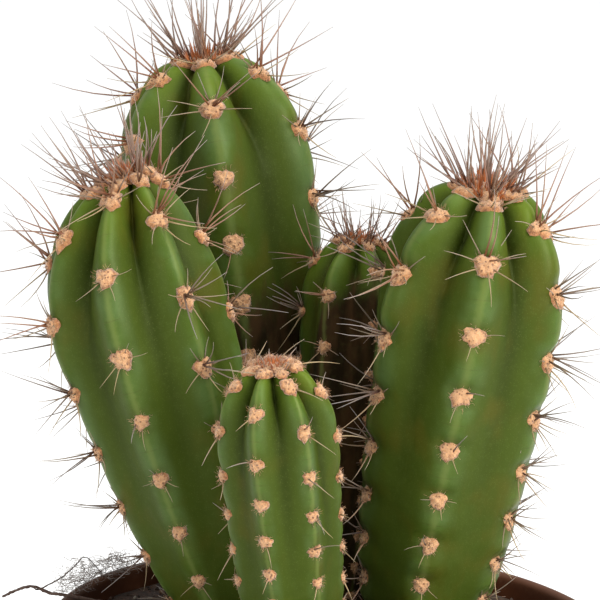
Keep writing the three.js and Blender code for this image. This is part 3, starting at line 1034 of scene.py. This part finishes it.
def joinPieces(name, pieces):
    # puts the meshes of several pieces into one
    builder = bmesh.new()
    for piece in pieces:
        builder.from_mesh(piece.data)
    mesh = bpy.data.meshes.new(name)
    builder.to_mesh(mesh)
    builder.free()
    for material in pieces[0].data.materials:
        mesh.materials.append(material)
    for piece in pieces:
        bpy.data.objects.remove(piece)
    return newObject(name, mesh)


class Bundle:
    # the points of one copies tree, filled one by one
    def __init__(self):
        self.rows = []

    def add(self, place, aim, side, size, pick=0, lean=None, **marks):
        vectors = [Vector(part) for part in (place, aim, side, size)]
        self.rows.append((*vectors, pick, lean or Vector(), marks))

    def grow(self, name, tree, material):
        places, aims, sides, sizes, picks, leans, marks = zip(*self.rows)
        layers = {"aim": aims, "side": sides, "size": sizes, "pick": picks, "lean": leans}
        for key in marks[0]:
            layers[key] = [mark[key] for mark in marks]
        return growMesh(name, pointMesh(name, places, **layers), tree, {"Material": material})


def randomVector(chance):
    return Vector([chance.uniform(-1, 1) for _ in range(3)])


def flatAim(place, around):
    # a direction in the plane of the pad
    return place.side * math.cos(around) + place.rise * math.sin(around)


def addWool(wool, place, c, chance):
    angle = chance.uniform(0, 2 * math.pi)
    share = math.sqrt(chance.uniform(0.05, 1.0))
    reach = share * (1 + 0.1 * threeCorners(angle))
    x = reach * math.cos(angle)
    y = reach * math.sin(angle)
    z = c["thickness"] * padLift(share) - c["wrap"] * x * x - 0.08
    spot = place.point + place.width * (place.side * x + place.rise * y + place.out * z)
    aim = place.out * chance.uniform(0.3, 1.0) + flatAim(place, angle) * share * c["hairSpread"]
    aim += randomVector(chance) * 0.5
    length = c["hairLength"] * chance.uniform(0.4, 1.0) * (place.width / c["usualWidth"]) ** 0.5
    lean = randomVector(chance) * length * c["hairCurl"]
    shape = (c["hairWidth"], c["hairWidth"], length)
    wool.add(spot, aim.normalized(), place.side, shape, 0, lean, lift=chance.uniform(0.3, 1.0))


def makeFelt(places, name, nodes, chance, c=feltPad):
    pads = Bundle()
    wool = Bundle()
    for place in places:
        width = place.width
        side = flatAim(place, chance.uniform(-1, 1) * c["tilt"])
        shape = (width * chance.uniform(*c["wide"]), width * chance.uniform(*c["tall"]), width)
        seat = place.point - place.out * c["sunk"] * width
        pads.add(seat, place.out, side, shape, chance.randrange(c["shapes"]))
        for _ in range(c["hairsPerPad"]):
            addWool(wool, place, c, chance)
    cushions = pads.grow(name + "Pads", padTree, feltMaterial)
    hairs = wool.grow(name + "Wool", woolTree, feltMaterial)
    finishPiece(joinPieces(name, [cushions, hairs]), nodes)


# spines

# lengths and widths in millimetres, leans in degrees away from straight out
spineRules = {
    "centralCount": (3, 4, 4, 5),
    "centralLength": (14.0, 24.0),
    "centralWidth": 0.57,
    "centralLean": (8, 52),
    "radialCount": (5, 7),
    "radialLength": (8.0, 15.0),
    "radialWidth": 0.44,
    "radialLean": (56, 78),
    "shortestOld": 0.5,
    "oldAge": 7,
    "brushed": 0.45,
    "brushedRadials": 0.4,
    "shelteredCentrals": 0.6,
    "shelteredRadials": 0.5,
    "bend": 0.05,
    "tuftLength": (3.0, 7.0),
    "tuftWidth": 0.78,
    "crownWidth": 0.6,
    "crownLean": (2, 64),
    "crownLength": (0.45, 1.0),
    "usualGirth": 24 * mm,
}


def addSpine(bundle, side, seat, aim, length, width, chance, tone, young):
    lean = randomVector(chance)
    lean = (lean - aim * lean.dot(aim)) * length * spineRules["bend"]
    bundle.add(seat, aim, side, (width, width, length), 0, lean, tone=tone, young=young)


def aimFrom(place, lean, around):
    return (place.out * math.cos(lean) + flatAim(place, around) * math.sin(lean)).normalized()


def clusterSpines(bundle, s, place, chance, c=spineRules):
    # centrals stand out from the pad, radials spread flat round it; the front that is brushed
    # in passing keeps mostly the thin ones that point downwards, and the side that faces the
    # other stems grows fewer
    inward = Vector((-s.foot.x, -s.foot.y, 0)).normalized()
    shelter = unit((place.out.dot(inward) - 0.7) * 5)
    front = unit((-place.out.y - 0.7) / 0.2)
    youth = 1 - (1 - c["shortestOld"]) * min(place.age / c["oldAge"], 1)
    scale = (s.girth / c["usualGirth"]) ** 0.5 * youth
    centrals = chance.choice(c["centralCount"]) if chance.random() < s.armed else 0
    if chance.random() < front:
        centrals = chance.choice((0, 0, 1)) if place.age > 0.8 else 1
    for _ in range(int(round(centrals * (1 - c["shelteredCentrals"] * shelter)))):
        lean = math.radians(chance.uniform(*c["centralLean"]))
        aim = aimFrom(place, lean, chance.uniform(0, 2 * math.pi))
        flat = place.side * chance.uniform(-0.4, 0.4) + place.rise * chance.uniform(-0.1, 0.5)
        seat = place.point + place.out * 0.15 * place.width + flat * place.width
        length = chance.uniform(*c["centralLength"]) * mm * scale
        length = length * (1 - c["brushed"] * front) * (1 - 0.25 * shelter)
        width = c["centralWidth"] * mm * scale ** 0.5
        marks = (chance, chance.uniform(0, 0.3), 0.3 if place.age < 1.5 else 0.0)
        addSpine(bundle, place.side, seat, aim, length, width, *marks)
    crowd = chance.uniform(*c["radialCount"]) * (0.2 + 0.8 * s.armed)
    radials = int(round(crowd * (1 - 0.3 * front) * (1 - c["shelteredRadials"] * shelter)))
    for i in range(radials):
        around = 2 * math.pi * (i + chance.uniform(-0.35, 0.35)) / radials - math.pi / 2
        downward = 0.5 - 0.5 * math.sin(around)
        if chance.random() < front * (0.85 - downward):
            continue
        aim = aimFrom(place, math.radians(chance.uniform(*c["radialLean"])), around)
        seat = place.point + place.out * 0.05 * place.width + flatAim(place, around) * 0.6 * place.width
        length = chance.uniform(*c["radialLength"]) * mm * scale * (0.7 + 0.45 * downward)
        length = length * (1 - c["brushedRadials"] * front)
        width = c["radialWidth"] * mm * (1 - 0.3 * front)
        # radials that face the other stems are painted less pale and redder: painted shade in the gaps
        # between the stems
        tone = min(1, chance.uniform(0.1, 0.5) + 0.5 * downward) * (1 - 0.8 * shelter)
        addSpine(bundle, place.side, seat, aim, length, width, chance, tone, 0.3 * shelter)


def crownSpines(bundle, s, places, chance, c=spineRules):
    # a dense tuft of short red-brown bristles round the growing point, and long grey ones
    # that fan out from the youngest clusters round it
    small = (s.girth / c["usualGirth"]) ** 0.5
    for i in range(s.tuft):
        around = i * 2.4 + chance.uniform(-0.3, 0.3)
        share = math.sqrt((i + 0.5) / s.tuft)
        flat = s.across * math.cos(around) + s.behind * math.sin(around)
        seat = s.crown + flat * share * 0.62 * s.crownRadius + s.axis * (0.6 - 0.8 * share) * mm
        lean = math.radians(3 + 30 * share + chance.uniform(-7, 7))
        aim = (s.axis * math.cos(lean) + flat * math.sin(lean) + randomVector(chance) * 0.1).normalized()
        length = chance.uniform(*c["tuftLength"]) * mm * s.tuftReach * (1.1 - 0.35 * share)
        addSpine(bundle, flat, seat, aim, length, c["tuftWidth"] * mm * small, chance, 0.0, 1.0)
    for place in places:
        flat = place.point - s.crown
        flat = (flat - s.axis * flat.dot(s.axis)).normalized()
        for _ in range(chance.choice(s.crownCount)):
            lean = math.radians(chance.uniform(*c["crownLean"]))
            aim = s.axis * math.cos(lean) + flat * math.sin(lean) + randomVector(chance) * 0.16
            spot = place.side * chance.uniform(-0.4, 0.4) + place.rise * chance.uniform(-0.4, 0.4)
            seat = place.point + spot * place.width
            length = s.crownReach * chance.uniform(*c["crownLength"])
            width = c["crownWidth"] * mm * small
            tone = chance.uniform(0, 0.2)
            addSpine(bundle, place.side, seat, aim.normalized(), length, width, chance, tone, 0.15)


def makeArms(s, seed):
    chance = random.Random(seed)
    places = clustersOf(s, clusterRows)
    crown = crownPlaces(s, clusterRows)
    made = [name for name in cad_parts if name.startswith("spines_" + s.node)]
    centre = SimpleNamespace(point=s.crown, side=s.across, rise=s.behind, out=s.axis,
                             width=0.55 * s.crownRadius)
    makeFelt(places, "felt" + s.name, made, chance)
    makeFelt(crown + [centre], "crownFelt" + s.name, ["crown_" + s.node], chance)
    sides = Bundle()
    for place in places:
        clusterSpines(sides, s, place, chance)
    finishPiece(sides.grow("spines" + s.name, spineTree, spineMaterial))
    tops = Bundle()
    crownSpines(tops, s, crown, chance)
    finishPiece(tops.grow("crownSpines" + s.name, spineTree, spineMaterial))


firstSeed = 20
for number, plant in enumerate(plants):
    makeArms(plant, firstSeed + number)
print("spines ready")


# the pot

pot = {
    "facets": 160,
    "wall": 1.7 * mm,
    "baseRadius": 51 * mm,
    "edgeRound": 2.5 * mm,
    "collarHeight": 15 * mm,
    "collarStep": 1.2 * mm,
    "collarInset": 0.8 * mm,
    "stepRound": 0.6 * mm,
    "bead": 2.2,
    "floor": 2 * mm,
    "floorRound": 2 * mm,
    "drainHoles": 8,
    "drainRadius": 4.5 * mm,
    "drainRing": 35 * mm,
    "sharpAngle": 38,
}


def arcPoints(radius, height, reach, start, end, steps):
    turns = [math.radians(start + (end - start) * i / steps) for i in range(steps + 1)]
    return [(radius + reach * math.cos(turn), height + reach * math.sin(turn)) for turn in turns]


def spinProfile(name, profile, facets):
    # turns a profile that starts and ends on the axis into a closed shape
    points = []
    rings = []
    for radius, height in profile:
        if radius < 1e-7:
            rings.append([len(points)])
            points.append((0, 0, height))
            continue
        rings.append(list(range(len(points), len(points) + facets)))
        for i in range(facets):
            turn = 2 * math.pi * i / facets
            points.append((radius * math.cos(turn), radius * math.sin(turn), height))
    faces = []
    for low, high in zip(rings, rings[1:]):
        for i in range(facets):
            j = (i + 1) % facets
            corners = [low[i % len(low)], low[j % len(low)], high[j % len(high)], high[i % len(high)]]
            faces.append(tuple(dict.fromkeys(corners)))
    return meshFrom(name, points, faces)


def potSizes(c):
    low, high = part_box("pot")
    lipRadius = (high.x - low.x) / 2
    wallTop = lipRadius - c["collarStep"] - c["wall"]
    slope = (wallTop - c["baseRadius"]) / high.z
    return SimpleNamespace(lipRadius=lipRadius, top=high.z, collarBottom=high.z - c["collarHeight"],
                           outer=lambda z: c["baseRadius"] + slope * z)


def innerRadius(c, z):
    p = potSizes(c)
    low = p.outer(p.collarBottom) - c["wall"]
    if z < p.collarBottom:
        return p.outer(z) - c["wall"]
    rise = (z - p.collarBottom) / (c["collarHeight"] - c["wall"])
    return low + (p.lipRadius - 2 * c["wall"] - low) * rise


def potProfile(c):
    # from the middle of the underside, out and up over the lip, and down inside to the floor
    p = potSizes(c)
    lip = c["wall"]
    inset = c["collarInset"]
    ease = c["stepRound"]
    curve = c["floorRound"]
    collar = p.lipRadius - inset
    bottom = p.collarBottom
    profile = [(0, 0)]
    profile += arcPoints(c["baseRadius"] - c["edgeRound"], c["edgeRound"], c["edgeRound"], -90, 0, 6)
    profile += [(p.outer(z), z) for z in np.linspace(12 * mm, bottom - 1 * mm, 5)]
    profile += arcPoints(p.outer(bottom) + ease, bottom - 0.4 * mm, ease, 180, 120, 3)
    profile += arcPoints(collar - inset, bottom + c["collarStep"] + 0.4 * mm, inset, -50, 0, 4)
    profile += [(collar, z) for z in (p.top - 8 * mm, p.top - c["bead"] * lip)]
    profile += arcPoints(p.lipRadius - lip, p.top - lip, lip, -25, 180, 12)
    profile += [(innerRadius(c, z), z) for z in (bottom, 60 * mm, 6 * mm)]
    profile += arcPoints(innerRadius(c, c["floor"]) - curve, c["floor"] + curve, curve, 0, -90, 4)
    return profile + [(0, c["floor"])]


def makeDrills(c):
    drills = bmesh.new()
    for i in range(c["drainHoles"]):
        turn = 2 * math.pi * (i + 0.5) / c["drainHoles"]
        spot = (c["drainRing"] * math.cos(turn), c["drainRing"] * math.sin(turn), c["floor"] / 2)
        bmesh.ops.create_cone(drills, cap_ends=True, segments=24, radius1=c["drainRadius"],
                              radius2=c["drainRadius"], depth=4 * c["floor"],
                              matrix=Matrix.Translation(spot))
    mesh = bpy.data.meshes.new("drainDrills")
    drills.to_mesh(mesh)
    drills.free()
    return hiddenObject(mesh)


def makePot(c):
    body = newObject("potBody", spinProfile("potBody", potProfile(c), c["facets"]))
    cut = body.modifiers.new("drains", "BOOLEAN")
    cut.object = makeDrills(c)
    cut.operation = "DIFFERENCE"
    cut.solver = "EXACT"
    holed = settledMesh(body)
    body.modifiers.clear()
    body.data = holed
    dressMesh(holed, potMaterial)
    holed.set_sharp_from_angle(angle=math.radians(c["sharpAngle"]))
    finishPiece(body, ["pot"])


makePot(pot)
print("pot ready")


# the soil

soil = {
    "facets": 150,
    "rings": 46,
    "edgeGap": 0.15 * mm,
    "sunk": 1.1 * mm,
    "lumps": 0.9 * mm,
    "fineLumps": 130.0,
    "broadLumps": 32.0,
    "crumbs": 2600,
    "crumbSize": (0.7, 2.6),
    "crumbShapes": 4,
    "seed": 5,
}


def makeCrumbMesh(seed):
    # a small broken lump of a few faces
    chance = random.Random(seed)
    lump = bmesh.new()
    bmesh.ops.create_icosphere(lump, subdivisions=1, radius=1.0)
    stretch = Vector((1.0, chance.uniform(0.6, 0.9), chance.uniform(0.4, 0.8)))
    for vertex in lump.verts:
        vertex.co = Vector([a * b for a, b in zip(vertex.co * chance.uniform(0.7, 1.15), stretch)])
    mesh = bpy.data.meshes.new("crumb%d" % seed)
    lump.to_mesh(mesh)
    lump.free()
    return mesh


def makeSoilTree(c, level):
    # lifts only the top of the soil, by two sizes of lumps
    tree, entry = newTree("soilSurface", {"Lumps": 0.0, "Material": "NodeSocketMaterial"})
    where = tree.nodes.new("GeometryNodeInputPosition").outputs[0]
    plugs = {"Vector": where, "Scale": c["fineLumps"], "Detail": 5.0, "Roughness": 0.6}
    rough = addNode(tree, "ShaderNodeTexNoise", plugs)
    plugs = {"Vector": where, "Scale": c["broadLumps"], "Detail": 2.0}
    broad = addNode(tree, "ShaderNodeTexNoise", plugs)
    top = vectorParts(tree, where)[2].do("GREATER_THAN", level - 0.1 * mm)
    rise = (Wire(tree, rough.outputs["Fac"]) + Wire(tree, broad.outputs["Fac"]) * 1.6 - 1.1) * top
    lift = addNode(tree, "ShaderNodeCombineXYZ", {"Z": rise * Wire(tree, entry.outputs["Lumps"]) * 1.6})
    plugs = {"Geometry": entry.outputs["Geometry"], "Offset": lift.outputs[0]}
    moved = addNode(tree, "GeometryNodeSetPosition", plugs)
    closeTree(tree, moved.outputs[0], entry.outputs["Material"])
    return tree


def makeSoil(c):
    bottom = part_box("soil")[0].z
    level = soilTop - c["sunk"]
    edge = innerRadius(pot, level) - c["edgeGap"]
    profile = [(0, bottom)]
    profile += [(innerRadius(pot, z) - c["edgeGap"], z) for z in (bottom, 60 * mm, level - 0.4 * mm)]
    profile += [(edge * share, level) for share in np.linspace(0.995, 0.02, c["rings"])]
    profile.append((0, level))
    mesh = spinProfile("soilBase", profile, c["facets"])
    values = {"Lumps": c["lumps"], "Material": soilMaterial}
    piece = growMesh("soilBed", mesh, makeSoilTree(c, level), values)
    finishPiece(piece, ["soil"])
    return level, edge


def makeCrumbs(c, level, edge):
    chance = random.Random(c["seed"])
    shapes = [hiddenObject(makeCrumbMesh(seed)) for seed in range(c["crumbShapes"])]
    tree = copiesTree("crumbCopies", shapes)
    crumbs = Bundle()
    small, large = c["crumbSize"]
    for _ in range(c["crumbs"]):
        reach = edge * math.sqrt(chance.random()) * 0.985
        turn = chance.uniform(0, 2 * math.pi)
        width = (small + (large - small) * chance.random() ** 3) * 0.5 * mm
        reach = min(reach, edge - 1.2 * width)
        spot = (reach * math.cos(turn), reach * math.sin(turn), level + chance.uniform(0.0, 0.9) * mm)
        aim = randomVector(chance).normalized()
        side = randomVector(chance).normalized()
        shape = [width * chance.uniform(0.8, 1.2) for _ in range(3)]
        pick = chance.randrange(c["crumbShapes"])
        crumbs.add(spot, aim, side, shape, pick, tone=chance.random())
    finishPiece(crumbs.grow("soilCrumbs", tree, crumbMaterial))


soilLevel, soilEdge = makeSoil(soil)
makeCrumbs(soil, soilLevel, soilEdge)
print("soil ready")


# dry root and fibres at the rim

dryRoot = {
    "seed": 11,
    "radius": 0.6 * mm,
    "points": [(-46, 27, 117.9), (-54, 21, 119), (-61, 15.5, 121.4), (-67.6, 14, 122.9), (-72.3, 14, 123.5),
               (-76.8, 14, 125), (-80.7, 13.8, 123.9), (-84.3, 13.5, 122)],
    "twig": [(-76.8, 14.2, 125), (-75.3, 17, 123.4), (-70.5, 21, 125.1), (-67.5, 24, 127.0),
             (-66, 25, 128.6), (-64.8, 26, 129.6), (-63.2, 28, 128.4), (-60, 32, 123.4)],
    "twigThickness": 0.36,
    "crooked": 0.10 * mm,
    "steps": 8,
}

rimFibres = {
    "seed": 12,
    "count": 260,
    "radius": 0.045 * mm,
    "arc": (139, 166),
    "rise": (6.4, 3.0),
    "spill": 5.5 * mm,
    "steps": (10, 20),
    "stepLength": (0.35, 0.8),
}


def addRoute(curve, points, radii):
    line = curve.splines.new("POLY")
    line.points.add(len(points) - 1)
    for knot, point, radius in zip(line.points, points, radii):
        knot.co = (*point, 1)
        knot.radius = radius


def smoothRoute(points, steps, wobble, chance):
    # a smooth line through the points, slightly crooked
    route = []
    for i in range(len(points) - 1):
        a = Vector(points[max(i - 1, 0)])
        b = Vector(points[i])
        c = Vector(points[i + 1])
        d = Vector(points[min(i + 2, len(points) - 1)])
        for step in range(steps):
            t = step / steps
            point = 0.5 * ((2 * b) + (c - a) * t + (2 * a - 5 * b + 4 * c - d) * t * t
                           + (3 * b - a - 3 * c + d) * t ** 3)
            route.append(point + randomVector(chance) * wobble)
    route.append(Vector(points[-1]))
    return route


def curvePiece(name, curve, material):
    holder = newObject(name, curve)
    mesh = settledMesh(holder)
    bpy.data.objects.remove(holder)
    dressMesh(mesh, material)
    return newObject(name, mesh)


def newCurve(name, depth, sides):
    curve = bpy.data.curves.new(name, "CURVE")
    curve.dimensions = "3D"
    curve.bevel_depth = depth
    curve.bevel_resolution = sides
    curve.use_fill_caps = True
    return curve


def makeDryRoot(c):
    chance = random.Random(c["seed"])
    curve = newCurve("dryRoot", c["radius"], 2)
    for points, thick in ((c["points"], 1.0), (c["twig"], c["twigThickness"])):
        route = smoothRoute([Vector(p) * mm for p in points], c["steps"], c["crooked"], chance)
        count = len(route)
        radii = [thick * chance.uniform(0.75, 1.15) * (1 - 0.45 * i / count) for i in range(count)]
        addRoute(curve, route, radii)
    finishPiece(curvePiece("dryRoot", curve, rootMaterial), ["dry_root"])


def fibreRoute(c, chance, p):
    # a crinkled thread that keeps above the lip and under the height of the mat
    low, high = c["arc"]
    share = chance.random()
    turn = math.radians(low + (high - low) * share)
    reach = p.lipRadius - 2 * mm + chance.gauss(0, 0.9) * mm + chance.random() ** 2 * share * c["spill"]
    tall = (c["rise"][1] + (c["rise"][0] - c["rise"][1]) * share) * mm
    spot = Vector((reach * math.cos(turn), reach * math.sin(turn), p.top + chance.random() ** 1.4 * tall))
    aim = randomVector(chance)
    route = [spot]
    for _ in range(chance.randint(*c["steps"])):
        aim = (aim + randomVector(chance) * 0.7).normalized()
        spot = spot + Vector((aim.x, aim.y, 0.75 * aim.z)) * chance.uniform(*c["stepLength"]) * mm
        spot.z = min(max(spot.z, p.top + 0.12 * mm), p.top + tall * 1.1)
        route.append(spot)
    return route


def makeRimFibres(c):
    # fine grey fibres matted over the rim behind the left stem, and spilling a little outside it
    chance = random.Random(c["seed"])
    curve = newCurve("rimFibres", c["radius"], 0)
    for _ in range(c["count"]):
        route = fibreRoute(c, chance, potSizes(pot))
        addRoute(curve, route, [chance.uniform(0.6, 1.4)] * len(route))
    finishPiece(curvePiece("rimFibres", curve, wispMaterial))


makeDryRoot(dryRoot)
makeRimFibres(rimFibres)
print("fibres ready")


# floor and light

studio = {
    "floor": (0.93, 0.93, 0.925),
    "floorReach": 12,
    "sky": (0.98, 0.99, 1.0, 1),
    "zenith": 1.22,
    "horizon": 0.31,
    "target": (0, 0, 0.18),
}

lamps = {
    "key": {"place": (0.85, -0.75, 0.75), "size": (0.35, 0.9), "power": 18.0, "colour": (1.0, 0.985, 0.95)},
    "top": {"place": (0.1, -0.3, 1.3), "size": (0.8, 0.6), "power": 5.0, "colour": (1.0, 1.0, 0.98)},
    "fill": {"place": (-0.7, -1.0, 0.14), "size": (0.5, 0.4), "power": 3.5, "colour": (1.0, 1.0, 0.98)},
}


def makeFloor(c):
    material, tree, shader = newMaterial("paleFloor")
    shade = grain(tree, 3, detail=2.0)
    worn = tuple(0.985 * part for part in c["floor"])
    colour = mixColour(tree, window(shade, 0.2, 0.8), c["floor"], worn)
    fillPlugs(tree, shader, {"Base Color": colour, "Roughness": 0.9})
    reach = c["floorReach"]
    corners = [(-reach, -reach, 0), (reach, -reach, 0), (reach, reach, 0), (-reach, reach, 0)]
    mesh = meshFrom("floor", corners, [(0, 1, 2, 3)])
    mesh.materials.append(material)
    floor = newObject("floor", mesh)
    floor.location.z = -0.05 * mm


def addLamp(name, lamp, target):
    data = bpy.data.lights.new(name, "AREA")
    data.shape = "RECTANGLE"
    data.size, data.size_y = lamp["size"]
    data.energy = lamp["power"]
    data.color = lamp["colour"]
    light = newObject(name, data)
    light.location = lamp["place"]
    aim = Vector(target) - Vector(lamp["place"])
    light.rotation_euler = aim.to_track_quat("-Z", "Y").to_euler()


def makeSky(c):
    # a white dome, bright overhead and dimmer towards the horizon
    world = bpy.data.worlds.new("studio")
    bpy.context.scene.world = world
    world.use_nodes = True
    tree = world.node_tree
    height = vectorParts(tree, tree.nodes.new("ShaderNodeTexCoord").outputs["Generated"])[2]
    glow = window(height, 0.0, 0.75) * (c["zenith"] - c["horizon"]) + c["horizon"]
    fillPlugs(tree, tree.nodes["Background"], {0: c["sky"], 1: glow})


def makeStudio(c):
    makeSky(c)
    for name, lamp in lamps.items():
        addLamp(name, lamp, c["target"])
    bpy.context.scene.view_settings.view_transform = "Standard"
    bpy.context.scene.view_settings.look = "None"


makeFloor(studio)
makeStudio(studio)
for shape in patterns:
    bpy.data.objects.remove(shape)
print("studio ready")
